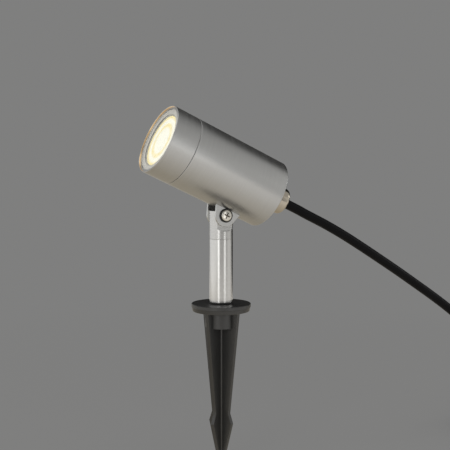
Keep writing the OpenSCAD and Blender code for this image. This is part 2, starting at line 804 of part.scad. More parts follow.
module cord_hank() {
    echo(least_gap = hank_gap, hank_length = hank_along[len(hank_along) - 1]);
    color("#1f2021") tube(hank_way, cord_r, [0, 1, 0], [0, 1, 0], 6);
}

// The tail swings from the hank over to the plug
function tail_point(s) = tail_start
    + [tail_shift[0] * (1 - cos(180 * s)) / 2, tail_shift[1] * s, tail_shift[2] * (1 - cos(180 * s)) / 2];

module cord_tail() {
    points = [for (i = [0:tail_steps]) tail_point(i / tail_steps)];
    color("#1f2021") tube(points, cord_r, [0, 1, 0], [0, 1, 0], 12, [1, 0, 0]);
}

// A strap round both runs of the hank at its waist
module cord_tie() {
    half_x = hank_waist_x + cord_r + tie_gap;
    high = hank_high + cord_r + tie_gap;
    low = hank_low - cord_r - tie_gap;
    color("#141516") translate([0, hank_y, 0]) difference() {
        translate([-half_x - tie_t, -tie_w / 2, low - tie_t])
            cube([2 * (half_x + tie_t), tie_w, high - low + 2 * tie_t]);
        translate([-half_x, -tie_w / 2 - 1, low]) cube([2 * half_x, tie_w + 2, high - low]);
    }
}

module plug_frame() {
    translate(plug_start) rotate([-90, 0, 0]) children();
}

module plug_body() {
    front = boot_l + plug_l;
    color("#1b1c1d") plug_frame() difference() {
        rotate_extrude() polygon([[0, 0], [boot_r0, 0], [boot_r1, boot_l],
            [plug_r - 3, boot_l + 3], [plug_r - 1, boot_l + 7], [plug_r, boot_l + 12],
            [plug_r, front - 1], [plug_r - 1, front], [0, front]]);
        for (side = [-1, 1]) translate([side * (plug_r - 1), 0, front - 9])
            cube([5, 7, 20], center = true);
    }
}

module plug_pins() {
    front = boot_l + plug_l;
    color("#c9c7c1") plug_frame() for (side = [-1, 1])
        translate([0, side * plug_pitch / 2, front]) {
            cylinder(h = plug_pin_l - 1, r = plug_pin_d / 2);
            translate([0, 0, plug_pin_l - 1 - eps])
                cylinder(h = 1 + eps, r1 = plug_pin_d / 2, r2 = plug_pin_d / 2 - 0.8);
        }
}

ground_spike();
spike_insert();
pole_tube();
pole_foot();
foot_washer();
knuckle();
supply_cord();
cord_hank();
cord_tail();
cord_tie();
plug_body();
plug_pins();
housing();
pivot_ears();
pivot_screw();
screw_washer();
nut_washer();
pivot_nut();
neck_ring();
gland_body();
gland_dome();
gland_seal();
gland_ring();
gland_locknut();
cord_entry();
core_wires();
terminal_block();
terminal_screws();
holder_bracket();
lamp_holder();
holder_screws();
holder_leads();
earth_lead();
earth_screw();
lamp_shell();
lamp_lens();
lamp_pins();
front_glass();
glass_gasket();
bezel();
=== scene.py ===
"""A garden spike spotlight: brushed steel head, short polished pole, black ground spike, mains lead."""

import math

import bmesh
import bpy
from mathutils import Matrix, Vector


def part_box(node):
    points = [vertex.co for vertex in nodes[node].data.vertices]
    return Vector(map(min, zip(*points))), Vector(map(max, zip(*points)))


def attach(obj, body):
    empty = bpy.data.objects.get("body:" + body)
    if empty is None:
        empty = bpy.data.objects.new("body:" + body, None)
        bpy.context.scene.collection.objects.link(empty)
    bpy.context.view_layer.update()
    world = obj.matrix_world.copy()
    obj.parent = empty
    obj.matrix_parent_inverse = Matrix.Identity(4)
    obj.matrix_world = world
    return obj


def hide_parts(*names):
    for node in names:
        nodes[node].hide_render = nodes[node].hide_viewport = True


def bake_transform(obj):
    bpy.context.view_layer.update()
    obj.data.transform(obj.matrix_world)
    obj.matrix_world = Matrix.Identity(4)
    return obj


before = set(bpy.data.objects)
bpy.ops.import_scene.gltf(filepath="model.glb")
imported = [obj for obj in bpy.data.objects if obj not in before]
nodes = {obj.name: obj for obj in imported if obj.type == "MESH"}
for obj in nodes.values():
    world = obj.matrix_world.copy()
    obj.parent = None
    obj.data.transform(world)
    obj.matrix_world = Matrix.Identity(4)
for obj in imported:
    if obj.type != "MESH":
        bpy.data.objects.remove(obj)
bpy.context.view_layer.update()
scene = bpy.context.scene

# Sizes of the model, in metres
MM = 0.001
TILT = math.radians(25)
PIVOT_Z = 82 * MM
AXIS_H = 34 * MM
HEAD_R = 30 * MM
HEAD_WALL = 1.8 * MM
BACK_R = 1 * MM
BACK_IN_R = 2.2 * MM
BACK_Z = -33 * MM
FRONT_Z = 79 * MM
SHOULDER_Z = 56 * MM
BEZEL_BORE = 28.4 * MM
OPENING_R = 27.4 * MM
RIM_R = 29.35 * MM
LEDGE_T = 0.12 * MM
BAND_T = 0.04 * MM
BORDER_R = 23.2 * MM
PRINT_T = 0.03 * MM
SEAM = 0.3 * MM
NECK_R = 28.25 * MM
NECK_BORE = 25.85 * MM
NECK_FRONT = 73.05 * MM
STEM_HOLE = 8.2 * MM
GLASS_R = 28.1 * MM
GLASS_FRONT = 77.85 * MM
GLASS_BACK = 74.85 * MM
GASKET_BACK = 73.35 * MM
GASKET_W = 2.4 * MM
LAMP_FRONT = 73.65 * MM
LAMP_BACK = 26.65 * MM
LAMP_R = 25 * MM
LAMP_NECK_R = 12.2 * MM
LAMP_FACE_R = 22.15 * MM
FACE_T = 2 * MM
POLE_R = 10 * MM
POLE_BORE = 8.5 * MM
POLE_FOOT = 7.7 * MM
POLE_TOP = 62 * MM
SPIKE_TIP = -140 * MM
CORD_R = 4.25 * MM
GLAND_R = 11.7 * MM
GLAND_L = 18 * MM
DOME_H = 5.4 * MM
NUT_START = 5.8 * MM
STEM_END = 15.25 * MM
STEM_R = 8 * MM
PLUG_R = 18.5 * MM
BOOT_L = 20 * MM
PLUG_L = 36 * MM

# The pivot screw: where its head starts on X, the share of the head's height that is kept,
# the painted shade in its cross slot over that start, and the washer under it
SCREW_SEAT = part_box("screw_washer")[1][0]
HEAD_SHARE = 0.5
SLOT_FLOOR = 0.75 * MM
SLOT_TOP = 1.3 * MM
SLOT_R = 2.6 * MM
SLOT_BLUR = 0.15 * MM
# The dark washer is widened to WASHER_R: it is a real washer, and its ring is also painted shade round the
# screw head.
WASHER_R = 5.9 * MM
WASHER_EDGE_FROM = 4 * MM

# The head's axis: local +Z runs to the front, local +Y up
HEAD_FRAME = Matrix.Translation((0, 0, PIVOT_Z)) @ Matrix.Rotation(-TILT, 4, "X")
AXIS_FRAME = (HEAD_FRAME @ Matrix.Translation((0, 0, AXIS_H))
              @ Matrix.Rotation(math.radians(90), 4, "X"))
BACK_FRAME = AXIS_FRAME @ Matrix.Translation((0, 0, BACK_Z)) @ Matrix.Rotation(math.pi, 4, "X")

# Camera of the photograph
CAMERA_TURN = math.radians(63.89)
CAMERA_PITCH = math.radians(4.48)
CAMERA_AIM = Vector((-0.0032, 0.0053, 0.0730))
CAMERA_DISTANCE = 0.8
CAMERA_LENS = 74.795


def add_camera():
    towards = Vector((math.cos(CAMERA_PITCH) * math.sin(CAMERA_TURN),
                      -math.cos(CAMERA_PITCH) * math.cos(CAMERA_TURN),
                      math.sin(CAMERA_PITCH)))
    camera = bpy.data.objects.new("camera", bpy.data.cameras.new("camera"))
    scene.collection.objects.link(camera)
    camera.data.lens = CAMERA_LENS
    camera.data.sensor_width = 36
    camera.data.clip_start = 0.01
    camera.data.clip_end = 100
    camera.location = CAMERA_AIM + towards * CAMERA_DISTANCE
    camera.rotation_euler = towards.to_track_quat("Z", "Y").to_euler()
    scene.camera = camera


add_camera()
scene.view_settings.view_transform = "Standard"


# Node helpers

class Shade:
    """A node tree that is filled with short calls."""

    def __init__(self, tree):
        self.tree = tree
        self.nodes = tree.nodes

    def add(self, kind, **values):
        node = self.nodes.new(kind)
        for name, value in values.items():
            setattr(node, name, value)
        return node

    def put(self, socket, value):
        if isinstance(value, bpy.types.NodeSocket):
            self.tree.links.new(value, socket)
        else:
            socket.default_value = value

    def math(self, operation, a, b=0.0):
        node = self.add("ShaderNodeMath", operation=operation)
        self.put(node.inputs[0], a)
        self.put(node.inputs[1], b)
        return node.outputs[0]

    def noise(self, vector, scale, detail=2.0, roughness=0.5):
        node = self.add("ShaderNodeTexNoise")
        self.put(node.inputs["Vector"], vector)
        self.put(node.inputs["Scale"], scale)
        self.put(node.inputs["Detail"], detail)
        self.put(node.inputs["Roughness"], roughness)
        return node.outputs["Fac"]

    def spread(self, value, low, high, to_low=0.0, to_high=1.0):
        node = self.add("ShaderNodeMapRange")
        for name, number in (("Value", value), ("From Min", low), ("From Max", high),
                             ("To Min", to_low), ("To Max", to_high)):
            self.put(node.inputs[name], number)
        return node.outputs["Result"]

    def vary(self, mask, at_none, at_full):
        """A value that follows a mask from 0 to 1."""
        return self.spread(mask, 0, 1, at_none, at_full)

    def uneven(self, mask, value, share):
        """A value that is less by a share where the mask is 0, and more by it at 1."""
        return self.vary(mask, value * (1 - share), value * (1 + share))

    def length(self, vector):
        node = self.add("ShaderNodeVectorMath", operation="LENGTH")
        self.put(node.inputs[0], vector)
        return node.outputs["Value"]

    def stretch(self, vector, scale):
        node = self.add("ShaderNodeVectorMath", operation="MULTIPLY")
        self.put(node.inputs[0], vector)
        self.put(node.inputs[1], scale)
        return node.outputs["Vector"]

    def blend(self, share, a, b):
        node = self.add("ShaderNodeMix", data_type="RGBA")
        self.put(node.inputs["Factor"], share)
        self.put(node.inputs["A"], a)
        self.put(node.inputs["B"], b)
        return node.outputs["Result"]

    def bump(self, height, strength, distance):
        node = self.add("ShaderNodeBump")
        self.put(node.inputs["Height"], height)
        self.put(node.inputs["Strength"], strength)
        self.put(node.inputs["Distance"], distance)
        return node.outputs["Normal"]

    def use(self, group, **values):
        node = self.add("ShaderNodeGroup", node_tree=group)
        for name, value in values.items():
            self.put(node.inputs[name.replace("_", " ")], value)
        return node.outputs


def new_group(name, inputs, outputs):
    tree = bpy.data.node_groups.new(name, "ShaderNodeTree")
    for label, kind, value in inputs:
        socket = tree.interface.new_socket(label, in_out="INPUT", socket_type=kind)
        if value is not None:
            socket.default_value = value
    for label, kind in outputs:
        tree.interface.new_socket(label, in_out="OUTPUT", socket_type=kind)
    shade = Shade(tree)
    source = shade.add("NodeGroupInput")
    sink = shade.add("NodeGroupOutput")
    return tree, shade, source.outputs, sink.inputs


FLOAT = "NodeSocketFloat"
VECTOR = "NodeSocketVector"

# A noise stays near 0.5. Its part between these two values is spread from 0 to 1.
SOFT = (0.3, 0.7)
PATCHY = (0.35, 0.65)
SPECKLED = (0.66, 0.74)

# Streaks follow the brushed lines with fewer waves, above all across them. Slow waves add
# their share to a moulded grain's height.
STREAK_SHARES = (0.5, 0.5, 0.08)
FLOW_SHARE = 0.6


def make_brushing():
    """Fine lines that run round the mapped Z axis, as a lathe or a belt leaves them."""
    tree, shade, given, out = new_group(
        "brushed_lines",
        [("Vector", VECTOR, None), ("Lines", FLOAT, 6000.0), ("Run", FLOAT, 60.0)],
        [("Height", FLOAT), ("Streak", FLOAT)])
    combine = shade.add("ShaderNodeCombineXYZ")
    for axis in "XY":
        shade.put(combine.inputs[axis], given["Run"])
    shade.put(combine.inputs["Z"], given["Lines"])
    lines = shade.stretch(given["Vector"], combine.outputs["Vector"])
    shade.put(out["Height"], shade.noise(lines, 1, detail=3, roughness=0.6))
    broad = shade.noise(shade.stretch(lines, STREAK_SHARES), 1)
    shade.put(out["Streak"], shade.spread(broad, *SOFT))
    return tree


def make_handling():
    """Soft patches and small specks, where a surface has been touched or has gathered dust."""
    tree, shade, given, out = new_group(
        "handled",
        [("Vector", VECTOR, None), ("Patch", FLOAT, 40.0), ("Speck", FLOAT, 900.0)],
        [("Patches", FLOAT), ("Specks", FLOAT)])
    patches = shade.noise(given["Vector"], given["Patch"], detail=3)
    shade.put(out["Patches"], shade.spread(patches, *PATCHY))
    specks = shade.noise(given["Vector"], given["Speck"], detail=1)
    shade.put(out["Specks"], shade.spread(specks, *SPECKLED))
    return tree


def make_grain():
    """The fine texture of a moulded plastic or rubber."""
    tree, shade, given, out = new_group(
        "moulded_grain",
        [("Vector", VECTOR, None), ("Grain", FLOAT, 1800.0), ("Flow", FLOAT, 60.0)],
        [("Height", FLOAT), ("Shading", FLOAT)])
    fine = shade.noise(given["Vector"], given["Grain"], roughness=0.6)
    flow = shade.noise(given["Vector"], given["Flow"])
    shade.put(out["Height"], shade.math("ADD", fine, shade.math("MULTIPLY", flow, FLOW_SHARE)))
    shade.put(out["Shading"], shade.spread(flow, *SOFT))
    return tree


BRUSHED_LINES = make_brushing()
HANDLED = make_handling()
MOULDED_GRAIN = make_grain()


def new_material(name):
    material = bpy.data.materials.new(name)
    material.use_nodes = True
    shade = Shade(material.node_tree)
    surface = material.node_tree.nodes["Principled BSDF"]
    place = shade.add("ShaderNodeTexCoord").outputs["Object"]
    return material, shade, surface.inputs, place


def mapped(shade, place, origin=(0, 0, 0), turn=(0, 0, 0)):
    """Coordinates measured from a point, with their axes turned."""
    node = shade.add("ShaderNodeMapping", vector_type="TEXTURE")
    shade.put(node.inputs["Vector"], place)
    node.inputs["Location"].default_value = origin
    node.inputs["Rotation"].default_value = turn
    return node.outputs["Vector"]


AXIS_ORIGIN = tuple(AXIS_FRAME.translation)
AXIS_TURN = (math.radians(90) - TILT, 0, 0)

# How deep brushed lines and moulded grain are, and how much a touched patch adds to roughness
LINE_DEPTH = 0.02 * MM
GRAIN_DEPTH = 0.2 * MM
HANDLED_ROUGHNESS = 0.03

# By which shares brushing and grain vary the roughness and grain the colour, and how much
# of the dust's colour a speck has
BRUSHED_UNEVEN = 0.1
MOULDED_UNEVEN = 0.08
MOULDED_TONE = 0.15
DUST_SHARE = 0.3


def two_tones(color, tone):
    """A colour, darker and lighter by a share."""
    return [tuple(min(1, c * share) for c in color) + (1,) for share in (1 - tone, 1 + tone)]


def brushed(name, color, roughness, lines, run, depth, tone, origin=(0, 0, 0), turn=(0, 0, 0)):
    """Steel with lines round an axis, slight streaks and handling marks.

    lines and run are how many waves a metre has across and along the brushing."""
    material, shade, surface, place = new_material(name)
    along = mapped(shade, place, origin, turn)
    brush = shade.use(BRUSHED_LINES, Vector=along, Lines=lines, Run=run)
    marks = shade.use(HANDLED, Vector=place, Patch=45)
    shade.put(surface["Base Color"], shade.blend(brush["Streak"], *two_tones(color, tone)))
    surface["Metallic"].default_value = 1
    rough = shade.math("ADD", shade.uneven(brush["Streak"], roughness, BRUSHED_UNEVEN),
                       shade.math("MULTIPLY", marks["Patches"], HANDLED_ROUGHNESS))
    shade.put(surface["Roughness"], rough)
    shade.put(surface["Normal"], shade.bump(brush["Height"], depth, LINE_DEPTH))
    return material


def moulded(name, color, roughness, grain, depth, specular=0.5, sheen=0.0):
    """Plastic or rubber with a moulded grain, in waves a metre, and a little dust."""
    material, shade, surface, place = new_material(name)
    texture = shade.use(MOULDED_GRAIN, Vector=place, Grain=grain, Flow=70)
    marks = shade.use(HANDLED, Vector=place, Patch=30, Speck=1600)
    tint = shade.blend(texture["Shading"], *two_tones(color, MOULDED_TONE))
    dust = tuple(min(1, c * 1.3 + 0.02) for c in color) + (1,)
    dusty = shade.math("MULTIPLY", marks["Specks"], DUST_SHARE)
    shade.put(surface["Base Color"], shade.blend(dusty, tint, dust))
    shade.put(surface["Roughness"], shade.uneven(marks["Patches"], roughness, MOULDED_UNEVEN))
    surface["Specular IOR Level"].default_value = specular
    if sheen:
        surface["Sheen Weight"].default_value = sheen
    shade.put(surface["Normal"], shade.bump(texture["Height"], depth, GRAIN_DEPTH))
    return material


GLASS_TINTS = ((0.97, 0.985, 0.98, 1), (0.99, 1.0, 0.99, 1))
WIPED_ROUGHNESS = 0.02


def clear_glass():
    """Glass with the slightest tint and a few wiped patches."""
    material, shade, surface, place = new_material("clear_glass")
    marks = shade.use(HANDLED, Vector=place, Patch=60)
    shade.put(surface["Base Color"], shade.blend(marks["Patches"], *GLASS_TINTS))
    shade.put(surface["Roughness"], shade.vary(marks["Patches"], 0, WIPED_ROUGHNESS))
    surface["Transmission Weight"].default_value = 1
    surface["IOR"].default_value = 1.48
    return material


# The lit face: brightness and colours, how strong the ring is where it is faintest, and
# the radii between which the colour changes
FACE_GLOW = 1.5
FACE_WHITE = (0.78, 0.76, 0.65, 1)
FACE_YELLOW = (0.75, 0.62, 0.28, 1)
FACE_UNLIT = (0.12, 0.12, 0.10, 1)
RING_FAINTEST = 0.55
RING_INNER = (11 * MM, 12.8 * MM)
RING_OUTER = (16.5 * MM, 14.7 * MM)
FACE_EDGE = (19 * MM, 21 * MM)


def lamp_face_finish():
    """The lit face: nearly white, yellower on one cloudy ring and at the edge."""
    material, shade, surface, place = new_material("lamp_face")
    along = mapped(shade, place, AXIS_ORIGIN, AXIS_TURN)
    radius = shade.length(shade.stretch(along, (1, 1, 0)))
    cloud = shade.use(HANDLED, Vector=place, Patch=150)
    whole_ring = shade.math("MULTIPLY", shade.spread(radius, *RING_INNER), shade.spread(radius, *RING_OUTER))
    ring = shade.math("MULTIPLY", whole_ring, shade.vary(cloud["Patches"], RING_FAINTEST, 1))
    warm = shade.math("MAXIMUM", ring, shade.spread(radius, *FACE_EDGE))
    surface["Base Color"].default_value = FACE_UNLIT
    shade.put(surface["Emission Color"], shade.blend(warm, FACE_WHITE, FACE_YELLOW))
    surface["Emission Strength"].default_value = FACE_GLOW
    surface["Roughness"].default_value = 0.35
    material.cycles.emission_sampling = "NONE"
    return material


# Where the brushing of the head and of the pivot screw turns, and the screw's steel
HEAD_AXES = {"origin": AXIS_ORIGIN, "turn": AXIS_TURN}
PIVOT_AXES = {"origin": (0, 0, PIVOT_Z), "turn": (0, math.radians(90), 0)}
SCREW_STEEL = {"color": (0.80, 0.77, 0.70), "roughness": 0.16, "lines": 4000, "run": 90,
               "depth": 0.15, "tone": 0.05}
SLOT_PAINTED_SHADE = (0.15, 0.12, 0.09, 1)


def cross_slot_finish():
    """The pivot screw's steel, with painted shade inside its cross slot."""
    material = brushed("cross_slot_steel", **SCREW_STEEL, **PIVOT_AXES)
    shade = Shade(material.node_tree)
    surface = material.node_tree.nodes["Principled BSDF"].inputs
    steel = surface["Base Color"].links[0].from_socket
    place = shade.add("ShaderNodeTexCoord").outputs["Object"]
    local = mapped(shade, place, (SCREW_SEAT, 0, PIVOT_Z))
    parts = shade.add("ShaderNodeSeparateXYZ")
    shade.put(parts.inputs[0], local)
    radius = shade.length(shade.stretch(local, (0, 1, 1)))
    # Painted shade: the steel is darkened below SLOT_TOP and within SLOT_R of the axis, inside the cross
    # slot.
    slot = shade.math("MULTIPLY", shade.spread(parts.outputs["X"], SLOT_TOP, SLOT_FLOOR),
                      shade.spread(radius, SLOT_R + SLOT_BLUR, SLOT_R))
    shade.put(surface["Base Color"], shade.blend(slot, steel, SLOT_PAINTED_SHADE))
    return material


FINISH = {
    "head": brushed("brushed_head", (0.61, 0.61, 0.60), 0.33, lines=14000, run=70, depth=0.25,
                    tone=0.025, **HEAD_AXES),
    "pole": brushed("polished_pole", (0.74, 0.735, 0.72), 0.20, lines=12000, run=60, depth=0.05,
                    tone=0.02),
    "turned": brushed("turned_steel", (0.68, 0.675, 0.66), 0.24, lines=9000, run=60, depth=0.04,
                      tone=0.03),
    "ears": brushed("ear_steel", (0.64, 0.64, 0.63), 0.30, lines=7000, run=80, depth=0.25,
                    tone=0.03, turn=(0, math.radians(90), 0)),
    "screw": brushed("screw_steel", **SCREW_STEEL, **PIVOT_AXES),
    "gland": brushed("gland_nickel", (0.62, 0.56, 0.465), 0.13, lines=7000, run=90, depth=0.12,
                     tone=0.04, **HEAD_AXES),
    "nickel": brushed("nickel_pins", (0.78, 0.77, 0.74), 0.15, lines=5000, run=90, depth=0.1,
                      tone=0.05),
    "brass": brushed("brass_parts", (0.75, 0.58, 0.28), 0.25, lines=5000, run=90, depth=0.2,
                     tone=0.08),
    "sheet": brushed("sheet_steel", (0.62, 0.61, 0.58), 0.35, lines=3000, run=50, depth=0.2,
                     tone=0.08),
    # Painted reflection: the rim's gold colour stands for the lamp's light mirrored in the steel lip.
    "rim": brushed("rim_painted_lamp_reflection", (0.95, 0.68, 0.36), 0.20, lines=9000, run=60, depth=0.1,
                   tone=0.05, **HEAD_AXES),
    "spike": moulded("spike_plastic", (0.022, 0.022, 0.0215), 0.38, grain=1500, depth=0.25, specular=1.0),
    "cord": moulded("lead_rubber", (0.004, 0.004, 0.005), 0.45, grain=1200, depth=0.10, specular=0.12),
    "plug": moulded("plug_rubber", (0.024, 0.024, 0.026), 0.5, grain=1500, depth=0.3),
    "seal": moulded("seal_rubber", (0.018, 0.018, 0.018), 0.6, grain=1500, depth=0.2),
    "tie": moulded("tie_plastic", (0.016, 0.016, 0.017), 0.4, grain=1500, depth=0.15),
    "block": moulded("block_plastic", (0.72, 0.70, 0.64), 0.35, grain=900, depth=0.1),
    "ceramic": moulded("ceramic_body", (0.80, 0.78, 0.70), 0.55, grain=2500, depth=0.3),
    "silicone": moulded("clear_silicone", (0.62, 0.61, 0.57), 0.35, grain=1200, depth=0.1),
    "wires": moulded("wire_sleeves", (0.22, 0.17, 0.10), 0.4, grain=1500, depth=0.1),
    "earth": moulded("earth_sleeve", (0.30, 0.40, 0.07), 0.4, grain=1500, depth=0.1),
    "sleeve": moulded("woven_sleeve", (0.78, 0.74, 0.62), 0.75, grain=3000, depth=0.5, sheen=0.3),
    "lamp": moulded("lamp_body", (0.70, 0.69, 0.66), 0.3, grain=900, depth=0.08),
    "border": moulded("glass_border", (0.62, 0.61, 0.59), 0.7, grain=300, depth=0.0, specular=0.1),
    "cross_slot": cross_slot_finish(),
    "glass": clear_glass(),
    "face": lamp_face_finish(),
}


def paint_lamp_glow(finish, color, strength):
    """A glow painted on a surface beside the lamp's face, standing for the lamp's stray light."""
    material = FINISH[finish]
    surface = material.node_tree.nodes["Principled BSDF"].inputs
    surface["Emission Color"].default_value = color
    surface["Emission Strength"].default_value = strength
    material.cycles.emission_sampling = "NONE"


# Painted glow: the glass border and the bezel's inner rim glow as if lit by the lamp.
paint_lamp_glow("border", (1.0, 0.93, 0.82, 1), 0.30)
paint_lamp_glow("rim", (1.0, 0.66, 0.36, 1), 0.20)

# CAD nodes that keep their own mesh, with their finish
CARRIED = {
    "spike_insert": "brass", "pole_foot": "turned", "foot_washer": "seal",
    "neck_ring": "seal", "gland_seal": "seal", "gland_ring": "seal",
    "gland_locknut": "gland", "cord_entry": "cord", "core_wires": "wires",
    "terminal_block": "block", "terminal_screws": "brass", "holder_bracket": "sheet",
    "lamp_holder": "ceramic", "holder_screws": "screw", "holder_leads": "sleeve",
    "earth_lead": "earth", "earth_screw": "brass", "lamp_pins": "nickel",
}
for name, finish in CARRIED.items():
    nodes[name].data.materials.clear()
    nodes[name].data.materials.append(FINISH[finish])


# Mesh helpers

# Edges steeper than SHARP stay sharp, CAD faces flatter than FLAT merge, and points nearer
# than these two distances are one
SHARP = math.radians(32)
FLAT = math.radians(1)
SAME_POINT = 1e-7
CAD_SAME_POINT = 2e-6

# Steps round a lathed piece
HEAD_STEPS = 160
LENS_STEPS = 128
SMALL_STEPS = 96


def finish_mesh(bm, name, finish, body, stands_for, place=None, recalc=True):
    """Turns a bmesh into a named piece that rides on a body and stands for CAD nodes."""
    bmesh.ops.remove_doubles(bm, verts=bm.verts, dist=SAME_POINT)
    if recalc:
        bmesh.ops.recalc_face_normals(bm, faces=bm.faces)
    if place is not None:
        bmesh.ops.transform(bm, matrix=place, verts=bm.verts)
    for face in bm.faces:
        face.smooth = True
    for edge in bm.edges:
        if len(edge.link_faces) == 2 and edge.calc_face_angle(0) > SHARP:
            edge.smooth = False
    mesh = bpy.data.meshes.new(name)
    bm.to_mesh(mesh)
    bm.free()
    mesh.materials.append(FINISH[finish])
    piece = bpy.data.objects.new(name, mesh)
    scene.collection.objects.link(piece)
    if body:
        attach(piece, body)
    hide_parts(*stands_for)
    return piece


def soften(piece, width, segments=2):
    """Rounds the piece's sharp edges."""
    modifier = piece.modifiers.new("soft_edges", "BEVEL")
    modifier.width = width
    modifier.segments = segments
    modifier.limit_method = "ANGLE"
    modifier.angle_limit = SHARP
    modifier.harden_normals = False
    return piece


def lathe(outline, steps, closed=True):
    """Turns an outline of (radius, height) points round Z."""
    bm = bmesh.new()
    verts = [bm.verts.new((r, 0, z)) for r, z in outline]
    pairs = list(zip(verts, verts[1:] + verts[:1])) if closed else list(zip(verts, verts[1:]))
    edges = [bm.edges.new(pair) for pair in pairs]
    bmesh.ops.spin(bm, geom=verts + edges, cent=(0, 0, 0), axis=(0, 0, 1), dvec=(0, 0, 0),
                   angle=2 * math.pi, steps=steps, use_merge=True, use_duplicate=False)
    return bm


def arc(cx, cy, radius, start, end, steps):
    """Points of an arc, by angles in degrees."""
    turns = [math.radians(start + (end - start) * i / steps) for i in range(steps + 1)]
    return [(cx + radius * math.cos(a), cy + radius * math.sin(a)) for a in turns]


def copy_of(node):
    """A bmesh of a CAD node, with its loose triangles joined and its flat areas merged."""
    bm = bmesh.new()
    bm.from_mesh(nodes[node].data)
    bmesh.ops.remove_doubles(bm, verts=bm.verts, dist=CAD_SAME_POINT)
    bmesh.ops.dissolve_limit(bm, angle_limit=FLAT, verts=bm.verts, edges=bm.edges)
    return bm


# The mains lead: one tube from the gland through the hank to the plug

EXIT_DIRECTION = Vector((0, math.cos(TILT), -math.sin(TILT)))
AXIS_FOOT = Vector((0, AXIS_H * math.sin(TILT), PIVOT_Z + AXIS_H * math.cos(TILT)))
EXIT = AXIS_FOOT + (-BACK_Z + GLAND_L) * EXIT_DIRECTION

# The free stretch: straight behind the head, then by these points down to the hank.
LEAD_STRAIGHT = 16 * MM
LEAD_WAY = [
    (0, .084, .080), (0, .104, .0704), (0, .124, .0598), (0, .144, .0482), (0, .164, .0362),
    (0, .184, .024), (0, .204, .0114), (0, .224, -.0014), (.0004, .242, -.0136),
    (.0016, .258, -.026), (.0036, .272, -.040), (.0062, .284, -.0554), (.0092, .295, -.0706),
    (.0122, .306, -.084), (.0148, .318, -.095), (.0164, .331, -.1026), (.0172, .344, -.1064)]

# The hank: four loops on top of each other, narrower at the waist where the tie holds them
FOLD_R = 25.5 * MM
HANK_HALF = 64 * MM
HANK_WAIST = 8 * MM
HANK_STEP = 9.2 * MM
HANK_LAYERS = 4
HANK_Y = 356 * MM
TIE_T = 0.8 * MM
TIE_GAP = 0.4 * MM
HANK_LOW = SPIKE_TIP + TIE_T + TIE_GAP + CORD_R
HANK_HIGH = HANK_LOW + (HANK_LAYERS - 1) * HANK_STEP
HANK_END_Y = HANK_Y + HANK_HALF + 2 * CORD_R
WAIST_X = FOLD_R - HANK_WAIST
PLUG_START = Vector((12 * MM, 488 * MM, SPIKE_TIP + PLUG_R))
WAY_STEPS = 6
RUN_STEPS = 12
FOLD_STEPS = 16


def hank_x(y):
    return FOLD_R - HANK_WAIST * (1 + math.cos(math.pi * y / HANK_HALF)) / 2


def run(side, start, end, z_start, z_end):
    """Points along one side of the hank, without the last."""
    shares = [i / RUN_STEPS for i in range(RUN_STEPS)]
    return [Vector((side * hank_x(start + (end - start) * s), HANK_Y + start + (end - start) * s,
                    z_start + (z_end - z_start) * s)) for s in shares]


def fold(end, turn, z):
    """Points round one end of the hank, without the last."""
    turns = [math.radians(turn + 180 * i / FOLD_STEPS) for i in range(FOLD_STEPS)]
    return [Vector((FOLD_R * math.cos(a), HANK_Y + end * HANK_HALF + FOLD_R * math.sin(a), z))
            for a in turns]


def smooth_way(points):
    """Points of a smooth curve through the given ones."""
    out = []
    ends = [2 * points[0] - points[1]] + points + [2 * points[-1] - points[-2]]
    for a, b, c, d in zip(ends, ends[1:], ends[2:], ends[3:]):
        for i in range(WAY_STEPS):
            t = i / WAY_STEPS
            out.append(0.5 * (2 * b + (c - a) * t + (2 * a - 5 * b + 4 * c - d) * t ** 2
                              + (3 * b - a - 3 * c + d) * t ** 3))
    return out + [points[-1]]


def lead_line():
    free = [EXIT, EXIT + LEAD_STRAIGHT * EXIT_DIRECTION] + [Vector(p) for p in LEAD_WAY]
    line = smooth_way(free + [Vector((WAIST_X, HANK_Y, HANK_HIGH))])
    line += run(1, 0, HANK_HALF, HANK_HIGH, HANK_HIGH)[1:]
    for layer in range(HANK_LAYERS - 1, 0, -1):
        z = HANK_LOW + layer * HANK_STEP
        line += fold(1, 0, z)
        line += run(-1, HANK_HALF, -HANK_HALF, z, z - HANK_STEP)
        line += fold(-1, 180, z - HANK_STEP)
        line += run(1, -HANK_HALF, HANK_HALF, z - HANK_STEP, z - HANK_STEP)
    tail = Vector((FOLD_R, HANK_END_Y, HANK_LOW))
    line += [Vector((FOLD_R, HANK_Y + HANK_HALF, HANK_LOW)), tail]
    shift = PLUG_START - tail
    for i in range(1, FOLD_STEPS + 1):
        s = i / FOLD_STEPS
        swing = (1 - math.cos(math.pi * s)) / 2
        line.append(tail + Vector((shift.x * swing, shift.y * s, shift.z * swing)))
    return line


LEAD = lead_line()


def tube_mesh(points, radius, name):
    """A round tube along the points, as a mesh with closed ends."""
    curve = bpy.data.curves.new(name, "CURVE")
    curve.dimensions = "3D"
    curve.bevel_depth = radius
    curve.bevel_resolution = 6
    curve.use_fill_caps = True
    spline = curve.splines.new("POLY")
    spline.points.add(len(points) - 1)
    for slot, point in zip(spline.points, points):
        slot.co = (*point, 1)
    holder = bpy.data.objects.new(name, curve)
    scene.collection.objects.link(holder)
    bpy.context.view_layer.update()
    graph = bpy.context.evaluated_depsgraph_get()
    mesh = bpy.data.meshes.new_from_object(holder.evaluated_get(graph))
    bpy.data.objects.remove(holder)
    bpy.data.curves.remove(curve)
    return mesh


def add_lead():
    mesh = tube_mesh(LEAD, CORD_R, "supply_lead")
    bm = bmesh.new()
    bm.from_mesh(mesh)
    lead = finish_mesh(bm, "supply_lead", "cord", None,
                       ["supply_cord", "cord_hank", "cord_tail"])
    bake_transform(lead)
    return lead


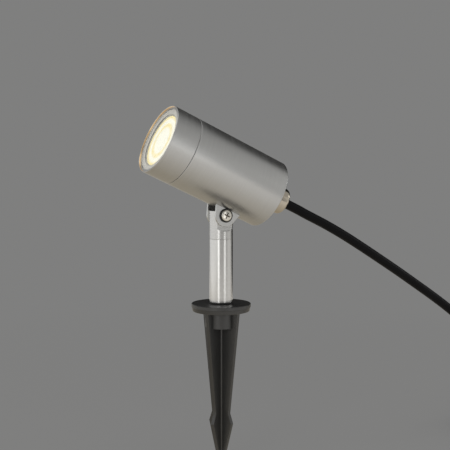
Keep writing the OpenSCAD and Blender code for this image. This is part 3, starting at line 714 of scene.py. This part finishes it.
def add_plug():
    """Moulded plug: a tapered boot with ribs, a round grip and a flat front."""
    front = BOOT_L + PLUG_L
    place = Matrix.Translation(PLUG_START) @ Matrix.Rotation(math.radians(-90), 4, "X")
    ribs = 6
    slim = CORD_R + 1.2 * MM
    thick = 8 * MM
    groove = 0.7 * MM
    boot = []
    for i in range(ribs):
        z = BOOT_L * i / ribs
        r = slim + (thick - slim) * i / ribs
        boot += [(r, z + 0.2 * MM), (r, z + 2.2 * MM), (r - groove, z + 2.5 * MM),
                 (r - groove, z + 3.0 * MM)]
    outline = ([(0, 0), (slim, 0)] + boot[1:]
               + [(thick, BOOT_L), (PLUG_R - 3 * MM, BOOT_L + 3 * MM), (PLUG_R - 1 * MM, BOOT_L + 7 * MM),
                  (PLUG_R, BOOT_L + 12 * MM), (PLUG_R, front - 1 * MM), (PLUG_R - 1 * MM, front), (0, front)])
    body = finish_mesh(lathe(outline, SMALL_STEPS, closed=False), "plug_body_detailed", "plug", "pole",
                       ["plug_body"], place)
    soften(body, 0.3 * MM)
    pins = finish_mesh(copy_of("plug_pins"), "plug_pins_detailed", "nickel", "pole",
                       ["plug_pins"], recalc=False)
    soften(pins, 0.25 * MM)
    return [body, pins]


def add_tie():
    tie = finish_mesh(copy_of("cord_tie"), "tie_strap", "tie", "pole",
                      ["cord_tie"], recalc=False)
    return soften(tie, 0.3 * MM, 3)


lead = add_lead()
plug_pieces = add_plug()
tie = add_tie()


# Head

def add_housing():
    edge = 0.2 * MM
    inner_r = HEAD_R - HEAD_WALL
    back_in = BACK_Z + HEAD_WALL
    outline = [(STEM_HOLE, BACK_Z)]
    outline += arc(HEAD_R - BACK_R, BACK_Z + BACK_R, BACK_R, -90, 0, 10)
    outline += [(HEAD_R, SHOULDER_Z - edge), (HEAD_R - edge, SHOULDER_Z), (NECK_R, SHOULDER_Z),
                (NECK_R, NECK_FRONT - 0.4 * MM), (NECK_R - 0.4 * MM, NECK_FRONT),
                (NECK_BORE, NECK_FRONT), (NECK_BORE, SHOULDER_Z), (inner_r, SHOULDER_Z - 4 * MM)]
    outline += arc(inner_r - BACK_IN_R, back_in + BACK_IN_R, BACK_IN_R, 0, -90, 6)
    outline += [(STEM_HOLE, back_in)]
    finish_mesh(lathe(outline, HEAD_STEPS), "head_shell", "head", "head", ["housing"],
                AXIS_FRAME)


def add_bezel():
    """The screw-on ring: a thin rim in front of the ledge that holds the glass."""
    low = SHOULDER_Z + SEAM
    edge = 0.2 * MM
    under = GLASS_FRONT + 0.05 * MM
    ledge = GLASS_FRONT + LEDGE_T
    outline = [(BEZEL_BORE, low), (HEAD_R - edge, low), (HEAD_R, low + edge),
               (HEAD_R, FRONT_Z - edge), (HEAD_R - edge, FRONT_Z), (RIM_R + edge, FRONT_Z),
               (RIM_R, FRONT_Z - edge), (RIM_R, ledge), (OPENING_R, ledge),
               (OPENING_R, under), (BEZEL_BORE, under)]
    finish_mesh(lathe(outline, HEAD_STEPS), "bezel_ring", "head", "bezel",
                ["bezel"], AXIS_FRAME)
    # The inner rim band carries the painted gold reflection of the lamp's light.
    band = [(RIM_R, ledge), (RIM_R, FRONT_Z - edge), (RIM_R - BAND_T, FRONT_Z - edge - BAND_T),
            (RIM_R - BAND_T, ledge)]
    finish_mesh(lathe(band, HEAD_STEPS), "bezel_inner_rim", "rim", "bezel", [], AXIS_FRAME)


def add_glass():
    """The clear front, with a pale border printed on its back round the lamp's face, which also has a painted
    glow.
    """
    edge = 0.4 * MM
    outline = [(0, GLASS_BACK), (GLASS_R - edge, GLASS_BACK), (GLASS_R, GLASS_BACK + edge),
               (GLASS_R, GLASS_FRONT - edge), (GLASS_R - edge, GLASS_FRONT), (0, GLASS_FRONT)]
    glass = finish_mesh(lathe(outline, LENS_STEPS, closed=False), "clear_front", "glass", "lens_pack",
                        ["front_glass"], AXIS_FRAME)
    glass.visible_shadow = False
    top = GLASS_BACK - 0.01 * MM
    print_ring = [(BORDER_R, top - PRINT_T), (GLASS_R - edge, top - PRINT_T), (GLASS_R - edge, top),
                  (BORDER_R, top)]
    finish_mesh(lathe(print_ring, LENS_STEPS), "front_border", "border", "lens_pack", [],
                AXIS_FRAME)


def add_gasket():
    lip = 0.2 * MM
    top = GLASS_BACK - PRINT_T - 0.02 * MM
    outline = [(GLASS_R - GASKET_W, GASKET_BACK + lip), (GLASS_R - GASKET_W + lip, GASKET_BACK),
               (GLASS_R - lip, GASKET_BACK), (GLASS_R, GASKET_BACK + lip),
               (GLASS_R, top), (GLASS_R - GASKET_W, top)]
    finish_mesh(lathe(outline, LENS_STEPS), "front_gasket", "silicone", "lens_pack",
                ["glass_gasket"], AXIS_FRAME)


def add_lamp():
    """The reflector's flared cup, and its face with shallow pressed rings."""
    flare_steps = 10
    rim_low = LAMP_FRONT - 6 * MM
    neck_top = LAMP_BACK + 13 * MM
    seat_r = LAMP_FACE_R + 0.05 * MM
    flare = [(LAMP_NECK_R + (LAMP_R - 1 * MM - LAMP_NECK_R) * math.sin(math.pi / 2 * i / flare_steps),
              neck_top + (rim_low - neck_top) * i / flare_steps) for i in range(flare_steps + 1)]
    outline = ([(0, LAMP_BACK), (LAMP_NECK_R - 1 * MM, LAMP_BACK), (LAMP_NECK_R, LAMP_BACK + 1 * MM)]
               + flare + [(LAMP_R, rim_low + 0.5 * MM), (LAMP_R, LAMP_FRONT - 0.6 * MM),
                          (LAMP_R - 0.6 * MM, LAMP_FRONT), (seat_r, LAMP_FRONT),
                          (seat_r, LAMP_FRONT - FACE_T), (0, LAMP_FRONT - FACE_T)])
    finish_mesh(lathe(outline, LENS_STEPS, closed=False), "lamp_cup", "lamp", "lamp",
                ["lamp_shell"], AXIS_FRAME)
    rings = 7
    top = LAMP_FRONT - 0.3 * MM
    step = (LAMP_FACE_R - 1 * MM) / rings
    face = [(0, LAMP_FRONT - FACE_T + 0.01 * MM), (LAMP_FACE_R, LAMP_FRONT - FACE_T + 0.01 * MM),
            (LAMP_FACE_R, top)]
    for i in range(rings, 0, -1):
        face += [(i * step + 0.3 * MM, top), ((i - 0.5) * step, top - 0.35 * MM)]
    face += [(0, top)]
    finish_mesh(lathe(face, LENS_STEPS, closed=False), "lamp_light_face", "face", "lamp",
                ["lamp_lens"], AXIS_FRAME)


def add_gland():
    """The domed clamping nut, drawn in to the lead, over a hex flange against the head."""
    hole = CORD_R + 0.35 * MM
    edge = 0.5 * MM
    seat = STEM_END + 0.15 * MM
    bore = STEM_R + 0.05 * MM
    dome = []
    for degrees in range(0, 91, 6):
        turn = math.radians(degrees)
        dome.append((hole + (GLAND_R - hole) * math.sqrt(max(0, math.cos(turn))),
                     GLAND_L - DOME_H + DOME_H * math.sqrt(math.sin(turn))))
    outline = ([(bore, NUT_START), (GLAND_R - edge, NUT_START)]
               + arc(GLAND_R - edge, NUT_START + edge, edge, -90, 0, 4)[1:] + dome
               + [(hole, STEM_END + 0.6 * MM), (7 * MM, seat), (bore, seat)])
    finish_mesh(lathe(outline, SMALL_STEPS), "gland_cap", "gland", "head", ["gland_dome"],
                BACK_FRAME)


for make in (add_housing, add_bezel, add_glass, add_gasket, add_lamp, add_gland):
    make()


# Pivot and pole

def refined(node, name, finish, body, width):
    """A CAD node's own shape with its sharp edges rounded."""
    soften(finish_mesh(copy_of(node), name, finish, body, [node], recalc=False), width)


def add_pole():
    edge = 0.3 * MM
    outline = [(POLE_BORE, POLE_FOOT), (POLE_R - edge, POLE_FOOT), (POLE_R, POLE_FOOT + edge),
               (POLE_R, POLE_TOP - edge), (POLE_R - edge, POLE_TOP), (POLE_BORE, POLE_TOP)]
    finish_mesh(lathe(outline, SMALL_STEPS), "pole_sleeve", "pole", "pole", ["pole_tube"])


add_pole()
refined("knuckle", "pole_knuckle", "turned", "pole", 0.25 * MM)
refined("pivot_ears", "head_ears", "ears", "head", 0.25 * MM)


def add_screw():
    """The pivot screw with a lower head than the solid's, on a wider dark washer, whose dark ring is partly
    painted shade round the head.
    """
    screw = copy_of("pivot_screw")
    for vert in screw.verts:
        if vert.co.x > SCREW_SEAT:
            vert.co.x = SCREW_SEAT + (vert.co.x - SCREW_SEAT) * HEAD_SHARE
    soften(finish_mesh(screw, "pivot_screw_head", "cross_slot", "head", ["pivot_screw"],
                       recalc=False), 0.12 * MM)
    washer = copy_of("screw_washer")
    middle = Vector((0, 0, PIVOT_Z))
    for vert in washer.verts:
        out = Vector((0, vert.co.y, vert.co.z)) - middle
        if out.length > WASHER_EDGE_FROM:
            vert.co += out * (WASHER_R / out.length - 1)
    soften(finish_mesh(washer, "screw_washer_and_painted_shade", "seal", "head", ["screw_washer"],
                       recalc=False), 0.15 * MM)


add_screw()
refined("nut_washer", "plain_nut_washer", "screw", "head", 0.15 * MM)
refined("pivot_nut", "pivot_hex_nut", "screw", "head", 0.25 * MM)
refined("gland_body", "gland_hex_flange", "gland", "head", 0.3 * MM)
refined("ground_spike", "moulded_spike", "spike", "spike", 0.3 * MM)


# Stage and lights

FLOOR_Z = SPIKE_TIP - 1 * MM
BACKDROP = (0.212, 0.212, 0.210, 1)
FLOOR_PAINT = (0.80, 0.76, 0.70, 1)
FLOOR_SEEN = (0.46, 0.455, 0.45, 1)
FLOOR_NEAR = (0.385, 0.345, 0.275, 1)
FLOOR_FRONT = (0.66, 0.64, 0.61, 1)
FLOOR_RADIUS = 12

# How the mirrored floor changes, in metres from the object: paler to the front, paler
# all round, then grey; and where the shadow that the camera sees fades out
FRONT_TURN = math.radians(40)
PALE_TO_FRONT = (-0.10, 0.42)
PALE_AROUND = (0.6, 1.1)
GREY_AROUND = (1.1, 1.6)
SHADOW_SHARE = 0.22
SHADOW_FADE = (0.35, 0.9)


def heading(turn):
    """A level direction, by its turn to the right of the camera as the object sees it."""
    angle = CAMERA_TURN - math.pi / 2 + turn
    return Vector((math.cos(angle), math.sin(angle), 0))


def floor_in_metal(shade, place, away):
    """The floor as metal mirrors it: warm under the object, paler to the front and further
    out, and the backdrop's grey far off."""
    front = shade.add("ShaderNodeVectorMath", operation="DOT_PRODUCT")
    shade.put(front.inputs[0], place)
    front.inputs[1].default_value = heading(FRONT_TURN)
    pale = shade.math("MAXIMUM", shade.spread(front.outputs["Value"], *PALE_TO_FRONT),
                      shade.spread(away, *PALE_AROUND))
    near = shade.blend(pale, FLOOR_NEAR, FLOOR_FRONT)
    return shade.blend(shade.spread(away, *GREY_AROUND), near, BACKDROP)


def stage_material():
    """Even grey with the object's faint shadow to the camera, the mirrored floor to metal,
    and a pale floor to all else."""
    material = bpy.data.materials.new("studio_floor")
    material.use_nodes = True
    material.cycles.emission_sampling = "NONE"
    shade = Shade(material.node_tree)
    shade.nodes.clear()
    path = shade.add("ShaderNodeLightPath")
    place = shade.add("ShaderNodeTexCoord").outputs["Object"]
    away = shade.length(place)
    even = shade.add("ShaderNodeEmission")
    even.inputs["Color"].default_value = BACKDROP
    mirrored = shade.add("ShaderNodeEmission")
    shade.put(mirrored.inputs["Color"], floor_in_metal(shade, place, away))
    diffuse = shade.add("ShaderNodeBsdfDiffuse")
    diffuse.inputs["Color"].default_value = FLOOR_PAINT
    dimmed = shade.add("ShaderNodeBsdfDiffuse")
    dimmed.inputs["Color"].default_value = FLOOR_SEEN
    seen = shade.add("ShaderNodeMixShader")
    shade.put(seen.inputs[0], shade.spread(away, *SHADOW_FADE, 1 - SHADOW_SHARE, 1))
    shade.put(seen.inputs[1], dimmed.outputs[0])
    shade.put(seen.inputs[2], even.outputs[0])
    gloss = shade.add("ShaderNodeMixShader")
    shade.put(gloss.inputs[0], path.outputs["Is Glossy Ray"])
    shade.put(gloss.inputs[1], diffuse.outputs[0])
    shade.put(gloss.inputs[2], mirrored.outputs[0])
    mix = shade.add("ShaderNodeMixShader")
    shade.put(mix.inputs[0], shade.math("MAXIMUM", path.outputs["Is Camera Ray"],
                                        path.outputs["Is Transmission Ray"]))
    shade.put(mix.inputs[1], gloss.outputs[0])
    shade.put(mix.inputs[2], seen.outputs[0])
    out = shade.add("ShaderNodeOutputMaterial")
    shade.put(out.inputs["Surface"], mix.outputs[0])
    return material


def add_floor():
    bm = bmesh.new()
    bmesh.ops.create_circle(bm, cap_ends=True, radius=FLOOR_RADIUS, segments=96)
    bmesh.ops.translate(bm, vec=(0, 0, FLOOR_Z), verts=bm.verts)
    mesh = bpy.data.meshes.new("studio_floor")
    bm.to_mesh(mesh)
    bm.free()
    mesh.materials.append(stage_material())
    floor = bpy.data.objects.new("studio_floor", mesh)
    scene.collection.objects.link(floor)


def set_world():
    """The backdrop's plain grey all round."""
    world = bpy.data.worlds.new("studio")
    scene.world = world
    world.use_nodes = True
    world.node_tree.nodes["Background"].inputs["Color"].default_value = BACKDROP


def add_flag():
    """A black panel behind the object's right, seen only in its reflections."""
    turn, distance, width, height = FLAG
    bm = bmesh.new()
    bmesh.ops.create_grid(bm, x_segments=1, y_segments=1, size=0.5)
    direction = heading(math.radians(turn))
    facing = direction.to_track_quat("Z", "Y").to_matrix().to_4x4()
    middle = direction * distance + Vector((0, 0, FLOOR_Z + height / 2))
    bmesh.ops.transform(bm, matrix=Matrix.Translation(middle) @ facing
                        @ Matrix.Diagonal((width, height, 1, 1)), verts=bm.verts)
    mesh = bpy.data.meshes.new("black_flag")
    bm.to_mesh(mesh)
    bm.free()
    material = bpy.data.materials.new("black_flag")
    material.use_nodes = True
    surface = material.node_tree.nodes["Principled BSDF"].inputs
    surface["Base Color"].default_value = (0.02, 0.02, 0.02, 1)
    surface["Roughness"].default_value = 0.9
    mesh.materials.append(material)
    flag = bpy.data.objects.new("black_flag", mesh)
    scene.collection.objects.link(flag)
    flag.visible_camera = False
    flag.visible_diffuse = False
    flag.visible_transmission = False
    flag.visible_shadow = False


WHITE = (1.0, 1.0, 0.99)
WARM = (1.0, 0.985, 0.95)
WATTS_PER_RADIANCE = 4.0

# Soft boxes round the object: turn to the right of the camera in degrees, distance,
# width, height, lift over the floor, brightness and colour
BOXES = {
    "left_back_box": (-142, 1.3, 0.7, 1.5, 0, 0.16, WHITE),
    "left_box": (-82, 1.0, 2.5, 0.6, 0, 0.44, WHITE),
    "left_strip": (-23, 0.95, 0.26, 1.3, 0, 1.02, WHITE),
    "front_box": (10, 1.5, 1.2, 1.4, 0, 0.08, WARM),
    "right_strip": (38, 1.0, 0.29, 0.8, 0, 0.70, WHITE),
    "right_box": (88, 1.3, 1.7, 1.5, 0, 0.14, WARM),
    "right_low_box": (86, 1.3, 1.0, 0.7, 0, 0.12, WARM),
    "right_back_lamp": (106, 1.0, 0.16, 0.30, 0.36, 2.0, WHITE),
}

# Over the object: width, depth, height over the origin and brightness
TOP_BOX = (1.2, 1.2, 1.4, 0.6)

# The black panel: turn to the right of the camera, distance, width and height
FLAG = (157, 1.0, 1.2, 1.32)


def add_light(name, place, aim, size, radiance, color):
    data = bpy.data.lights.new(name, "AREA")
    data.shape = "RECTANGLE"
    data.size, data.size_y = size
    data.energy = radiance * size[0] * size[1] * WATTS_PER_RADIANCE
    data.color = color
    light = bpy.data.objects.new(name, data)
    scene.collection.objects.link(light)
    light.location = place
    light.rotation_euler = (Vector(place) - Vector(aim)).to_track_quat("Z", "Y").to_euler()
    light.visible_camera = False
    light.visible_transmission = False


def add_lights():
    for name, (turn, distance, width, height, lift, radiance, color) in BOXES.items():
        foot = heading(math.radians(turn)) * distance
        z = FLOOR_Z + lift + height / 2
        add_light(name, (foot.x, foot.y, z), (0, 0, z), (width, height), radiance, color)
    width, depth, high, radiance = TOP_BOX
    add_light("top_box", (0, 0, high), (0, 0, 0), (width, depth), radiance, WHITE)


add_floor()
set_world()
add_flag()
add_lights()
